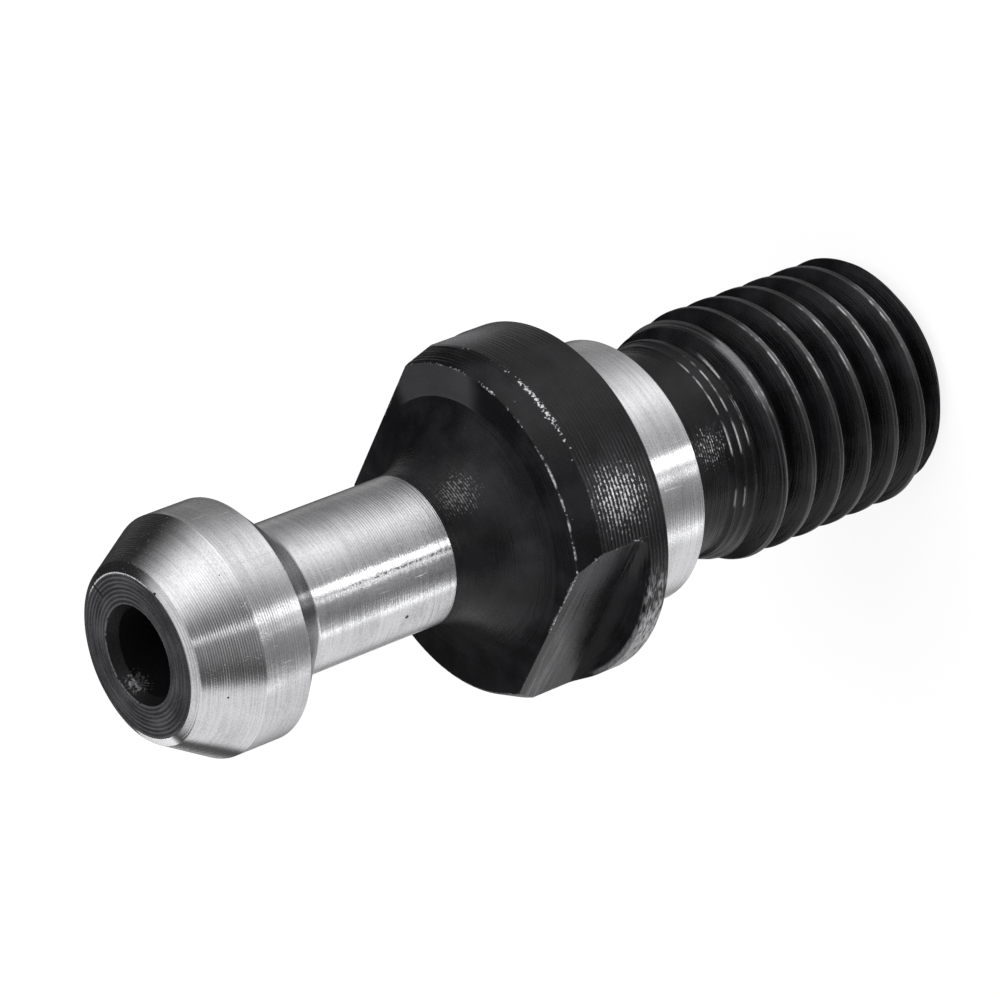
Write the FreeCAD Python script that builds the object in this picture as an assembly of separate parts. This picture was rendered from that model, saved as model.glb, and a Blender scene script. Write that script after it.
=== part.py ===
import FreeCAD, Part
import math
import os

# A pull stud for a size 30 steep-taper tool shank, turned from one bar of steel.
# It stands on its threaded end: +Z runs along the turning axis, towards the head,
# and z = 0 is the free end of the thread. All sizes are in millimetres.

# Standard heights, measured up from the threaded end
seat_height = 20.0            # underside of the flange, where the shank's end face stops
pull_height = 18.0            # from the seat up to the edge that the gripper pulls on
head_length = 5.0             # from that edge to the end face of the head

# Head
head_diameter = 11.0
head_cone_half_angle = 30.0   # degrees from the axis
end_face_diameter = 7.46
end_chamfer_width = 0.38      # radial width of the small chamfer around the end face
end_chamfer_height = 0.23
pull_face_angle = 45.0        # degrees from the axis, the face that the gripper holds

# Neck
neck_diameter = 7.0
neck_root_radius = 0.3        # fillet between the pull face and the neck

# Flange
flange_diameter = 16.5
flange_thickness = 5.0
flange_front_diameter = 15.45 # outer edge of the flat front face
flange_chamfer_height = 1.15
flange_back_chamfer = 0.15
bell_height = 3.3             # axial height of the large fillet between neck and flange
bell_mouth_diameter = 12.6    # where that fillet breaks out of the front face

# Wrench flats
across_flats = 13.0
lip_thickness = 1.2           # full round left between the flats and the seat
flat_corner_radius = 0.6      # left by the cutter where each flat meets the lip

# Pilot
pilot_diameter = 12.5
pilot_length = 4.0
pilot_chamfer = 0.15

# Relief between the pilot and the thread
relief_diameter = 9.8
relief_length = 2.4
runout_length = 3.1           # cone that rises from the relief to the thread

# Thread, M12 coarse
thread_diameter = 12.0
thread_pitch = 1.75
crest_allowance = 0.05        # radial, by which the crests stay under the nominal size
thread_end_chamfer = 1.0
thread_phase = 0.62           # height of a crest on the +X side, above the end face

# Coolant bore
bore_diameter = 4.0
countersink_diameter = 4.6
countersink_half_angle = 30.0 # degrees from the axis

# Worked out from the sizes above
overall_length = seat_height + pull_height + head_length
head_radius = head_diameter / 2
neck_radius = neck_diameter / 2
flange_radius = flange_diameter / 2
pull_edge_height = seat_height + pull_height
flange_front_height = seat_height + flange_thickness
pilot_end_height = seat_height - pilot_length
relief_end_height = pilot_end_height - relief_length
thread_start_height = relief_end_height - runout_length
crest_radius = thread_diameter / 2 - crest_allowance

# ISO metric form: 60 degrees between flanks, external thread depth 0.61343 pitch
flank_half_angle = 30.0
root_radius = thread_diameter / 2 - 0.61343 * thread_pitch
groove_width_at_nominal = thread_pitch * 7 / 8
groove_overshoot = 0.05 * thread_pitch
groove_start_angle = 40.0     # degrees, keeps the cutter's end off the blank's own seam
cut_tolerance = 1e-4
same_place = 1e-6              # two places closer than this are one


def tangent(degrees):
    return math.tan(math.radians(degrees))


def point(radius, height):
    return FreeCAD.Vector(radius, 0, height)


def line(start, end):
    return Part.LineSegment(start, end).toShape()


def lines(points):
    return [line(a, b) for a, b in zip(points, points[1:])]


def head_points():
    """Profile from the axis out over the end face and down to the pull face's foot."""
    face_radius = end_face_diameter / 2
    chamfer_radius = face_radius + end_chamfer_width
    chamfer_height = overall_length - end_chamfer_height
    cone_height = (head_radius - chamfer_radius) / tangent(head_cone_half_angle)
    pull_face_height = (head_radius - neck_radius) / tangent(pull_face_angle)
    return [
        point(0, overall_length),
        point(face_radius, overall_length),
        point(chamfer_radius, chamfer_height),
        point(head_radius, chamfer_height - cone_height),
        point(head_radius, pull_edge_height),
        point(neck_radius, pull_edge_height - pull_face_height),
    ]


def rounded_pull_corner(edge, corner, direction):
    """Shorten both sides of the corner under the head and join them with an arc."""
    half_turn = math.radians(180 - pull_face_angle) / 2
    setback = neck_root_radius / math.tan(half_turn)
    start = corner + (edge - corner).normalize() * setback
    end = corner + direction * setback
    centre = end + FreeCAD.Vector(neck_root_radius, 0, 0)
    towards = (corner - centre).normalize()
    arc = Part.Arc(start, centre + towards * neck_root_radius, end).toShape()
    return start, arc, end


def bell_fillet():
    """Arc that leaves the neck tangentially and breaks out of the flange's front face."""
    mouth_radius = bell_mouth_diameter / 2
    rise = mouth_radius - neck_radius
    radius = (bell_height ** 2 + rise ** 2) / (2 * rise)
    start = point(neck_radius, flange_front_height + bell_height)
    end = point(mouth_radius, flange_front_height)
    centre = point(neck_radius + radius, flange_front_height + bell_height)
    middle = ((start - centre) + (end - centre)).normalize()
    return start, Part.Arc(start, centre + middle * radius, end).toShape(), end


def flange_and_shank_points(start):
    """Profile from the flange's front face down to the axis at the threaded end."""
    pilot_radius = pilot_diameter / 2
    relief_radius = relief_diameter / 2
    chamfer_bottom = flange_front_height - flange_chamfer_height
    end_radius = crest_radius - thread_end_chamfer
    return [
        start,
        point(flange_front_diameter / 2, flange_front_height),
        point(flange_radius, chamfer_bottom),
        point(flange_radius, seat_height + flange_back_chamfer),
        point(flange_radius - flange_back_chamfer, seat_height),
        point(pilot_radius, seat_height),
        point(pilot_radius, pilot_end_height + pilot_chamfer),
        point(pilot_radius - pilot_chamfer, pilot_end_height),
        point(relief_radius, pilot_end_height),
        point(relief_radius, relief_end_height),
        point(crest_radius, thread_start_height),
        point(crest_radius, thread_end_chamfer),
        point(end_radius, 0),
        point(0, 0),
        point(0, overall_length),
    ]


def turned_blank():
    head = head_points()
    down = FreeCAD.Vector(0, 0, -1)
    fillet_start, root_arc, neck_top = rounded_pull_corner(head[-2], head[-1], down)
    neck_bottom, bell_arc, bell_mouth = bell_fillet()
    edges = lines(head[:-1] + [fillet_start]) + [root_arc]
    edges += [line(neck_top, neck_bottom), bell_arc]
    edges += lines(flange_and_shank_points(bell_mouth))
    profile = Part.Face(Part.Wire(edges))
    return profile.revolve(FreeCAD.Vector(0, 0, 0), FreeCAD.Vector(0, 0, 1), 360)


def coolant_bore():
    """Straight bore with a countersink at each end, as one cutting tool."""
    bore_radius = bore_diameter / 2
    mouth_radius = countersink_diameter / 2
    depth = (mouth_radius - bore_radius) / tangent(countersink_half_angle)
    outline = [
        point(0, 0),
        point(mouth_radius, 0),
        point(bore_radius, depth),
        point(bore_radius, overall_length - depth),
        point(mouth_radius, overall_length),
        point(0, overall_length),
        point(0, 0),
    ]
    profile = Part.Face(Part.Wire(lines(outline)))
    return profile.revolve(FreeCAD.Vector(0, 0, 0), FreeCAD.Vector(0, 0, 1), 360)


def flat_cutter(side):
    """Block that mills one wrench flat, from the front of the flange to its lip."""
    depth = flange_diameter - across_flats
    bottom = seat_height + lip_thickness
    height = flange_front_height + bell_height - bottom
    block = Part.makeBox(2 * flange_diameter, depth, height)
    block.translate(FreeCAD.Vector(-flange_diameter, across_flats / 2, bottom))
    corner = [edge for edge in block.Edges if is_corner(edge, bottom)]
    block = block.makeFillet(flat_corner_radius, corner)
    if side < 0:
        block.rotate(FreeCAD.Vector(0, 0, 0), FreeCAD.Vector(0, 0, 1), 180)
    return block


def is_corner(edge, bottom):
    """True for the block's edge where the flat meets the shoulder of the lip."""
    middle = edge.CenterOfMass
    at_bottom = abs(middle.z - bottom) < same_place
    return at_bottom and abs(middle.y - across_flats / 2) < same_place


def thread_groove():
    """Helical cutter for the whole thread. It runs out into the relief at the top
    and past the end face at the bottom."""
    outer_radius = thread_diameter / 2 + groove_overshoot
    outer_width = groove_width_at_nominal + 2 * groove_overshoot * tangent(flank_half_angle)
    outer_half = outer_width / 2
    root_half = outer_half - (outer_radius - root_radius) * tangent(flank_half_angle)
    start = thread_phase - 1.5 * thread_pitch
    turns = math.ceil((relief_end_height - start) / thread_pitch)
    helix = Part.makeHelix(thread_pitch, turns * thread_pitch, outer_radius)
    helix.translate(FreeCAD.Vector(0, 0, start))
    outline = [
        point(outer_radius, start - outer_half),
        point(root_radius, start - root_half),
        point(root_radius, start + root_half),
        point(outer_radius, start + outer_half),
        point(outer_radius, start - outer_half),
    ]
    profile = Part.Wire(lines(outline))
    groove = Part.Wire(helix.Edges).makePipeShell([profile], True, True)
    groove.rotate(FreeCAD.Vector(0, 0, 0), FreeCAD.Vector(0, 0, 1), groove_start_angle)
    groove.translate(FreeCAD.Vector(0, 0, thread_pitch * groove_start_angle / 360))
    return groove


def pull_stud():
    stud = turned_blank().cut((thread_groove(),), cut_tolerance)
    for side in (1, -1):
        stud = stud.cut(flat_cutter(side))
    return stud.cut(coolant_bore())


def export(shape, node):
    solid = shape.removeSplitter()
    solid.exportStep("parts/" + node + ".step")


os.makedirs("parts", exist_ok=True)
export(pull_stud(), "pull_stud")
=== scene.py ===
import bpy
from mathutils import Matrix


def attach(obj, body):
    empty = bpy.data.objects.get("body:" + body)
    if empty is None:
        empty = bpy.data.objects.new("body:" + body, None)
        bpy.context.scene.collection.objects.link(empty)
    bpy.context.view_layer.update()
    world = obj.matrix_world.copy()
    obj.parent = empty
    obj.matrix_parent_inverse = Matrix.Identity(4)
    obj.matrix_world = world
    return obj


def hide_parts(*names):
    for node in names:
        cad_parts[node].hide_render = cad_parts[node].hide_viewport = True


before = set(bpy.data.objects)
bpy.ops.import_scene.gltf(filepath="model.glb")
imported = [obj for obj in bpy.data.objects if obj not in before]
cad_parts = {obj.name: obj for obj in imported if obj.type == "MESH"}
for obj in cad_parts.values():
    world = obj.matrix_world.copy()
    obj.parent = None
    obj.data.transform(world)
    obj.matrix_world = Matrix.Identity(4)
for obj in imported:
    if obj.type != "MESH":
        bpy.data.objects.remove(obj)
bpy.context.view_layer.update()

import math

import bpy
from bpy.props import FloatProperty, FloatVectorProperty, IntProperty, PointerProperty
from mathutils import Matrix, Vector

bl_info = {
    "name": "Pull stud",
    "version": (1, 0, 0),
    "blender": (4, 5, 0),
    "location": "3D View > Sidebar > Pull stud",
    "description": "Makes a turned pull stud with its thread, wrench flats and finishes",
    "category": "Object",
}

MM = 0.001
MICRON = 0.000001
BODY = "root"
NODE = "pull_stud"
WHITE = (1.0, 1.0, 1.0, 1.0)


# Sizes and colours that a user would change


def length(name, description, millimetres):
    return FloatProperty(
        name=name, description=description, default=millimetres * MM,
        min=0.0, unit="LENGTH", subtype="DISTANCE", precision=6,
    )


def degrees(name, description, value):
    return FloatProperty(
        name=name, description=description, default=math.radians(value),
        unit="ROTATION", subtype="ANGLE",
    )


def colour(name, description, rgb):
    return FloatVectorProperty(
        name=name, description=description, default=rgb, size=3,
        min=0.0, max=1.0, subtype="COLOR",
    )


def share(name, description, value, most=1.0):
    return FloatProperty(
        name=name, description=description, default=value, min=0.0, max=most,
        subtype="FACTOR",
    )


class TurnedSizes(bpy.types.PropertyGroup):
    """Sizes of everything that is turned: head, neck, flange, pilot, relief and bore."""

    overall: length("Overall length", "Free end of the thread to the end face", 43.0)
    pull_edge: length("Pull edge height", "Height of the head's back edge", 38.0)
    head: length("Head diameter", "Across the head's cylinder", 11.0)
    head_cone: degrees("Head cone", "Cone's angle from the axis", 30.0)
    end_face: length("End face diameter", "Flat face round the bore", 7.46)
    end_chamfer: length("End chamfer width", "Radial width of the small chamfer", 0.38)
    end_chamfer_height: length("End chamfer height", "Its height along the axis", 0.23)
    neck: length("Neck diameter", "Across the neck", 7.0)
    neck_root: length("Neck root radius", "Fillet under the head", 0.3)
    bell_mouth: length("Fillet mouth diameter", "Where the large fillet meets the face", 12.6)
    bell_height: length("Fillet height", "Height of the large fillet", 3.3)
    flange: length("Flange diameter", "Across the flange", 16.5)
    flange_front: length("Flange front diameter", "Outer edge of the flat front face", 15.45)
    flange_front_height: length("Flange front height", "Height of the front face", 25.0)
    flange_chamfer: length("Flange chamfer height", "Height of the front chamfer", 1.15)
    flange_back: length("Flange back chamfer", "Small chamfer at the seat", 0.15)
    seat: length("Seat height", "Height of the flange's underside", 20.0)
    pilot: length("Pilot diameter", "Across the ground pilot", 12.5)
    pilot_end: length("Pilot end height", "Height of the pilot's lower end", 16.0)
    pilot_chamfer: length("Pilot chamfer", "Small chamfer at its lower end", 0.15)
    relief: length("Relief diameter", "Across the groove above the thread", 9.8)
    relief_end: length("Relief end height", "Where the run-out cone starts", 13.6)
    bore: length("Bore diameter", "Across the coolant bore", 4.0)
    bore_mouth: length("Bore mouth diameter", "Across the countersinks", 4.6)
    bore_mouth_depth: length("Bore mouth depth", "Depth of the countersinks", 0.5196)
    edge: length("Edge radius", "Small round left on the turned edges", 0.07)
    flange_edge: length("Flange edge radius", "Round left on the flange's edges", 0.12)
    edge_support: length("Edge support", "Distance of the ring beside each round", 0.04)
    steps: IntProperty(
        name="Steps around", description="Faces round the axis", default=192, min=24, max=720
    )


class FlatSizes(bpy.types.PropertyGroup):
    """Sizes of the two wrench flats."""

    across: length("Across flats", "Distance between the two flats", 13.0)
    lip: length("Lip height", "Height of the shoulder that the flats end on", 21.2)
    corner: length("Corner radius", "Left by the cutter where a flat meets the lip", 0.6)
    block: length("Cutter size", "Side of the block that mills a flat", 6.0)


class ThreadSizes(bpy.types.PropertyGroup):
    """Sizes of the thread and its run-out."""

    pitch: length("Pitch", "Distance from crest to crest", 1.75)
    phase: length("Phase", "Height of a crest on the +X side", 0.62)
    crest: length("Crest radius", "Radius of the thread's crest", 5.95)
    root: length("Root radius", "Radius of the thread's root", 4.9265)
    crest_round: length("Crest round", "Softness of the crest's edges", 0.03)
    root_round: length("Root round", "Softness of the root's corners", 0.12)
    end_chamfer: length("End chamfer", "Chamfer at the free end", 1.0)
    start: length("Thread start height", "Where the run-out cone reaches the crests", 10.5)
    end_ring: length("End ring radius", "Ring on the end face that the bore side joins", 4.7)
    ridge_height: length("Ridge height", "Height of the tool ridges on the run-out cone", 0.035)
    ridge_pitch: length("Ridge pitch", "Distance between those ridges", 0.43)
    ridge_low: length("Ridges from", "Lowest ridge", 11.75)
    ridge_high: length("Ridges to", "Highest ridge", 13.47)
    rows: IntProperty(
        name="Rows per pitch", description="Rows of faces in one pitch", default=24, min=8, max=96
    )


class FinishLook(bpy.types.PropertyGroup):
    """Colours and gloss of the finishes."""

    ground: colour("Ground steel", "Head, neck and pilot", (0.64, 0.64, 0.655))
    ground_dull: colour("Dull ground steel", "Its duller patches", (0.36, 0.36, 0.375))
    # Painted shade: dark colour in the feed lines' grooves where they show on the head and neck
    groove: colour("Feed lines", "Dark side of the lines on the head", (0.11, 0.11, 0.115))
    pit: colour("Pits", "Pits and dull dots in the ground steel", (0.05, 0.05, 0.053))
    chin: colour("Lit chamfer", "Lit part of the end face's chamfer", (0.66, 0.66, 0.67))
    # Painted shade: colour of the face under the head, darker because shade falls there
    pull_face: colour("Pull face", "Turned face behind the head", (0.13, 0.13, 0.14))
    ground_roughness: share("Ground roughness", "Spread of its reflections", 0.20)
    oxide: colour("Black oxide", "Flange, relief and thread", (0.0030, 0.0030, 0.0036))
    oxide_pale: colour("Pale oxide", "Thin patches of the coat", (0.009, 0.009, 0.0105))
    oxide_roughness: share("Oxide roughness", "Spread of its reflections", 0.30)
    # Also the colour of the painted glints on the thread's crests and ridges
    worn_and_glints: colour("Worn steel", "Bare steel where the coat is rubbed off", (0.50, 0.50, 0.515))
    # Also the colour of painted sheen on the flats, the front face and the flange's far side
    milled: colour("Milled oxide", "Pale streaks on the wrench flats", (0.10, 0.10, 0.108))
    face: colour("End face", "Dark face round the bore", (0.020, 0.020, 0.023))
    face_ring: colour("Face rings", "Rings on that face", (0.14, 0.14, 0.15))
    # Painted highlight: light colour on a stretch of the end face's edge
    face_edge_highlight: colour("Face edge", "Bare steel on that face's edge", (0.60, 0.60, 0.61))
    bore: colour("Bore wall", "Inside of the coolant bore", (0.004, 0.004, 0.0045))
    burr: colour("Burr", "Torn metal at the bore's mouth", (0.18, 0.18, 0.188))


class StageLook(bpy.types.PropertyGroup):
    """Floor, light and camera."""

    floor: colour("Floor", "Floor and background", (0.93, 0.93, 0.93))
    floor_glow: share("Floor glow", "Share of the floor that is plain white to the eye", 0.86)
    ambient: share("Ambient", "Strength of the light from all round", 0.45, 2.0)
    aim: FloatVectorProperty(
        name="Aim", description="Point that the camera looks at", size=3,
        default=(0.307 * MM, 0.548 * MM, 22.51 * MM), unit="LENGTH", subtype="TRANSLATION",
        precision=6,
    )
    distance: length("Camera distance", "From that point to the camera", 221.26)
    azimuth: degrees("Azimuth", "Camera's turn round the axis", 60.70)
    elevation: degrees("Elevation", "Camera's height above the horizon", 35.47)
    roll: degrees("Roll", "Camera's turn about its own line of sight", -111.10)
    lens: FloatProperty(
        name="Lens", description="Focal length in millimetres on a 36 mm sensor",
        default=178.12, min=10.0,
    )


# Node sheets: one small class for sockets and one for trees

def by_maths(operation):
    """Method that adds a Math node of one operation."""
    def method(self, *others):
        return self.maths(operation, *others)
    return method


class Value:
    """An output socket with the operators that node maths needs."""

    __add__ = __radd__ = by_maths("ADD")
    __mul__ = __rmul__ = by_maths("MULTIPLY")
    __sub__ = by_maths("SUBTRACT")
    __truediv__ = by_maths("DIVIDE")
    __gt__ = by_maths("GREATER_THAN")
    __lt__ = by_maths("LESS_THAN")
    __abs__ = by_maths("ABSOLUTE")
    least = by_maths("MINIMUM")
    most = by_maths("MAXIMUM")

    def __init__(self, sheet, socket):
        self.sheet = sheet
        self.socket = socket

    def maths(self, operation, *others):
        return self.sheet.maths(operation, self, *others)

    def __rsub__(self, other):
        return self.sheet.maths("SUBTRACT", other, self)

    def __rtruediv__(self, other):
        return self.sheet.maths("DIVIDE", other, self)

    def __neg__(self):
        return self * -1

    def between(self, low, high):
        return (self > low) * (self < high)

    def rise(self, low, high):
        """0 below low, 1 above high, and a smooth step between. low may be above high."""
        inputs = {"Value": self, "From Min": low, "From Max": high}
        return self.sheet.add("ShaderNodeMapRange", inputs, interpolation_type="SMOOTHSTEP")

    def other(self, name):
        return Value(self.sheet, self.socket.node.outputs[name])


class Sheet:
    """A node tree, and the one method that adds nodes to it."""

    def __init__(self, tree):
        self.tree = tree

    def add(self, kind, inputs=None, output=0, stops=None, **settings):
        node = self.tree.nodes.new(kind)
        for name, setting in settings.items():
            setattr(node, name, setting)
        if stops:
            ramp = node.color_ramp
            for element, (place, shade) in zip(ramp.elements, (stops[0], stops[-1])):
                element.position, element.color = place, shade
            for place, shade in stops[1:-1]:
                ramp.elements.new(place).color = shade
        for name, value in (inputs or {}).items():
            self.feed(node.inputs[name], value)
        return Value(self, node.outputs[output]) if node.outputs else None

    def feed(self, socket, value):
        for one in value if isinstance(value, list) else [value]:
            if isinstance(one, Value):
                self.tree.links.new(one.socket, socket)
            else:
                socket.default_value = one

    def maths(self, operation, *values):
        return self.add("ShaderNodeMath", dict(enumerate(values)), operation=operation)

    def vector(self, operation, *values, **inputs):
        numbered = dict(enumerate(values))
        numbered.update(inputs)
        return self.add("ShaderNodeVectorMath", numbered, operation=operation)

    def joined(self, x, y, z):
        return self.add("ShaderNodeCombineXYZ", {"X": x, "Y": y, "Z": z})

    def parts(self, vector):
        first = self.add("ShaderNodeSeparateXYZ", {"Vector": vector})
        return first, first.other("Y"), first.other("Z")

    def mix(self, factor, low, high):
        inputs = {"Factor": factor, 6: low, 7: high}
        return self.add("ShaderNodeMix", inputs, output=2, data_type="RGBA")

    def noise(self, vector, scale=1.0, detail=2.0):
        inputs = {"Vector": vector, "Scale": scale, "Detail": detail}
        return self.add("ShaderNodeTexNoise", inputs)


def emptied(data):
    """A material or world with nothing in its node tree."""
    data.use_nodes = True
    data.node_tree.nodes.clear()
    return data


def placed(context, name, data):
    made = bpy.data.objects.new(name, data)
    context.scene.collection.objects.link(made)
    return made


# Outline of everything that is turned, as points of radius and height


def rounded(corners, support, steps=3):
    """Outline through (radius, height, edge round) corners. Each round gets its arc and
    a support point on each side, which keeps the shading of the long faces straight."""
    points = []
    last = len(corners) - 1
    for index, (radius, height, edge) in enumerate(corners):
        corner = Vector((radius, height))
        if edge == 0 or index in (0, last):
            points.append(corner)
            continue
        before = (Vector(corners[index - 1][:2]) - corner).normalized()
        after = (Vector(corners[index + 1][:2]) - corner).normalized()
        half = before.angle(after) / 2
        setback = edge / math.tan(half)
        centre = corner + (before + after).normalized() * (edge / math.sin(half))
        start = corner + before * setback - centre
        end = corner + after * setback - centre
        turn = math.pi - 2 * half
        points.append(corner + before * (setback + support))
        for step in range(steps + 1):
            near = math.sin((1 - step / steps) * turn) / math.sin(turn)
            far = math.sin(step / steps * turn) / math.sin(turn)
            points.append(centre + start * near + end * far)
        points.append(corner + after * (setback + support))
    return points


def bell_points(sizes, steps=14):
    """Large fillet from the neck to the front face, without its two ends."""
    neck, mouth = sizes.neck / 2, sizes.bell_mouth / 2
    rise = mouth - neck
    radius = (sizes.bell_height ** 2 + rise ** 2) / (2 * rise)
    turn = math.asin(sizes.bell_height / radius)
    top = sizes.flange_front_height + sizes.bell_height
    return [
        (neck + radius * (1 - math.cos(turn * step / steps)),
         top - radius * math.sin(turn * step / steps), 0)
        for step in range(1, steps)
    ]


def stud_outline(sizes, end_ring):
    """From the ring on the lower end face, up through the bore, over the end face of
    the head and down outside to the end of the relief."""
    edge, soft = sizes.edge, sizes.flange_edge
    bore, mouth = sizes.bore / 2, sizes.bore_mouth / 2
    head, neck = sizes.head / 2, sizes.neck / 2
    chamfer = sizes.end_face / 2 + sizes.end_chamfer
    cone_top = sizes.overall - sizes.end_chamfer_height
    cone_foot = cone_top - (head - chamfer) / math.tan(sizes.head_cone)
    flange, pilot, relief = sizes.flange / 2, sizes.pilot / 2, sizes.relief / 2
    front = sizes.flange_front_height
    corners = [
        (end_ring, 0, 0),
        (mouth, 0, edge / 2),
        (bore, sizes.bore_mouth_depth, edge),
        (bore, sizes.overall - sizes.bore_mouth_depth, edge),
        (mouth, sizes.overall, edge / 2),
        (sizes.end_face / 2, sizes.overall, edge / 2),
        (chamfer, cone_top, edge),
        (head, cone_foot, edge),
        (head, sizes.pull_edge, edge),
        (neck, sizes.pull_edge - (head - neck), sizes.neck_root),
        (neck, front + sizes.bell_height, 0),
        *bell_points(sizes),
        (sizes.bell_mouth / 2, front, soft),
        (sizes.flange_front / 2, front, soft),
        (flange, front - sizes.flange_chamfer, soft),
        (flange, sizes.seat + sizes.flange_back, edge / 2),
        (flange - sizes.flange_back, sizes.seat, edge / 2),
        (pilot, sizes.seat, 0),
        (pilot, sizes.pilot_end + sizes.pilot_chamfer, edge / 2),
        (pilot - sizes.pilot_chamfer, sizes.pilot_end, edge / 2),
        (relief, sizes.pilot_end, edge),
        (relief, sizes.relief_end, 0),
    ]
    return rounded(corners, sizes.edge_support)


# Geometry node trees

# Points closer than this are joined, and edges bent more than this are kept sharp
MERGE_GAP = 2 * MICRON
SHARP_EDGE = math.radians(22)
# How far a zone of one finish reaches past the edge that ends it
ZONE_MARGIN = 0.02 * MM
# Farther than any point of the stud, in metres
FAR = 1.0
# Thread form: the root's half width is the pitch divided by this, and the flanks rise so
ROOT_PART = 12
FLANK_SLOPE = math.tan(math.radians(60))
# Rows of the thread's grid that are squeezed flat at its two ends
SPARE_ROWS = 4
CORNER_STEPS = 8


def new_tree(name, *sockets):
    """A geometry tree with named inputs. Returns its sheet and its inputs by name."""
    tree = bpy.data.node_groups.new(name, "GeometryNodeTree")
    tree.interface.new_socket("Geometry", in_out="OUTPUT", socket_type="NodeSocketGeometry")
    for label, kind in sockets:
        tree.interface.new_socket(label, in_out="INPUT", socket_type="NodeSocket" + kind)
    sheet = Sheet(tree)
    first = sheet.add("NodeGroupInput")
    return sheet, {label: first.other(label) for label, _ in sockets}


def end_tree(sheet, geometry):
    sheet.add("NodeGroupOutput", {"Geometry": geometry})
    return sheet.tree


def wrapped_grid(sheet, steps, rows):
    """A grid to be wrapped round the axis. Returns it, each point's share of the way
    round, and the number of its row."""
    inputs = {"Size X": 1.0, "Size Y": 1.0, "Vertices X": steps + 1, "Vertices Y": rows}
    grid = sheet.add("GeometryNodeMeshGrid", inputs)
    across, along, _ = sheet.parts(sheet.add("GeometryNodeInputPosition"))
    row = ((along + 0.5) * (rows - 1)).maths("ROUND")
    return grid, across + 0.5, row


def wrap(sheet, grid, around, radius, height):
    angle = around * math.tau
    place = sheet.joined(
        radius * angle.maths("COSINE"), radius * angle.maths("SINE"), height
    )
    return sheet.add("GeometryNodeSetPosition", {"Geometry": grid, "Position": place})


def turned_tree():
    """Everything turned: one ring of points for each point of the outline."""
    sheet, given = new_tree("turned_surface", ("Outline", "Geometry"), ("Steps around", "Int"))
    outline = given["Outline"]
    count = sheet.add("GeometryNodeAttributeDomainSize", {"Geometry": outline})
    grid, around, row = wrapped_grid(sheet, given["Steps around"], count)
    inputs = {
        "Geometry": outline, "Index": row,
        "Value": sheet.add("GeometryNodeInputPosition"),
    }
    point = sheet.add("GeometryNodeSampleIndex", inputs, data_type="FLOAT_VECTOR")
    radius, _, height = sheet.parts(point)
    skin = wrap(sheet, grid, around, radius, height)
    return end_tree(sheet, sheet.add("GeometryNodeFlipFaces", {"Mesh": skin}))


def thread_tree():
    """The threaded shank. Its rows follow the helix, so that crests and roots stay
    clean, and stop at the end face below and at the relief above."""
    lengths = (
        "Pitch", "Phase", "Crest radius", "Root radius", "Crest round", "Root round",
        "End chamfer", "End ring radius", "Thread start height", "Relief end height",
        "Relief diameter", "Ridge height", "Ridge pitch", "Ridges from", "Ridges to",
    )
    sockets = [(name, "Float") for name in lengths]
    counts = (("Rows per pitch", "Int"), ("Steps around", "Int"))
    sheet, given = new_tree("thread", *sockets, *counts)
    pitch, crest, root = given["Pitch"], given["Crest radius"], given["Root radius"]
    start, top = given["Thread start height"], given["Relief end height"]
    spacing = pitch / given["Rows per pitch"]
    rows = ((top + pitch) / spacing).maths("CEIL") + SPARE_ROWS
    grid, around, row = wrapped_grid(sheet, given["Steps around"], rows)
    first = (given["Phase"] / spacing).maths("FRACT") * spacing - pitch
    first = first - SPARE_ROWS / 2 * spacing
    sheared = first + (row + 0.5) * spacing + pitch * around
    height = sheared.most(0.0).least(top)

    turns = (height - given["Phase"]) / pitch - around
    off_groove = abs(turns.maths("FRACT") - 0.5) * pitch
    flank = root + (off_groove - pitch / ROOT_PART) * FLANK_SLOPE
    thread = flank.maths("SMOOTH_MAX", root, given["Root round"])
    thread = thread.maths("SMOOTH_MIN", crest, given["Crest round"])

    slope = (crest - given["Relief diameter"] / 2) / (top - start)
    cone = crest - (height - start) * slope
    wave = ((height - given["Ridges to"]) / given["Ridge pitch"] * math.tau).maths("SINE")
    inside = height.between(given["Ridges from"], given["Ridges to"])
    cone = cone + wave.most(0.0) * inside * given["Ridge height"]
    chamfer = crest - given["End chamfer"] + height
    radius = thread.least(cone).least(chamfer)

    ring = row < 0.5
    radius = radius * (1 - ring) + given["End ring radius"] * ring
    return end_tree(sheet, wrap(sheet, grid, around, radius, height * (1 - ring)))


def flat_cutter_tree():
    """The two blocks that mill the wrench flats, each with its rounded inner corner."""
    lengths = ("Across flats", "Lip height", "Corner radius", "Cutter size", "Flange diameter")
    sheet, given = new_tree("flat_cutters", *[(name, "Float") for name in lengths])
    block, reach = given["Cutter size"], given["Flange diameter"]
    inputs = {"Width": block, "Height": block}
    face = sheet.add("GeometryNodeCurvePrimitiveQuadrilateral", inputs)
    inputs = {
        "Curve": face, "Count": CORNER_STEPS, "Radius": given["Corner radius"],
        "Limit Radius": True,
    }
    face = sheet.add("GeometryNodeFilletCurve", inputs, mode="POLY")
    inputs = {"Start": sheet.joined(-reach, 0.0, 0.0), "End": sheet.joined(reach, 0.0, 0.0)}
    path = sheet.add("GeometryNodeCurvePrimitiveLine", inputs)
    inputs = {"Curve": path, "Profile Curve": face, "Fill Caps": True}
    bar = sheet.add("GeometryNodeCurveToMesh", inputs)
    sides = []
    for side in (1, -1):
        off_axis = (given["Across flats"] + block) / 2 * side
        place = sheet.joined(0.0, off_axis, given["Lip height"] + block / 2)
        inputs = {"Geometry": bar, "Translation": place}
        sides.append(sheet.add("GeometryNodeTransform", inputs))
    return end_tree(sheet, sheet.add("GeometryNodeJoinGeometry", {"Geometry": sides}))


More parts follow.
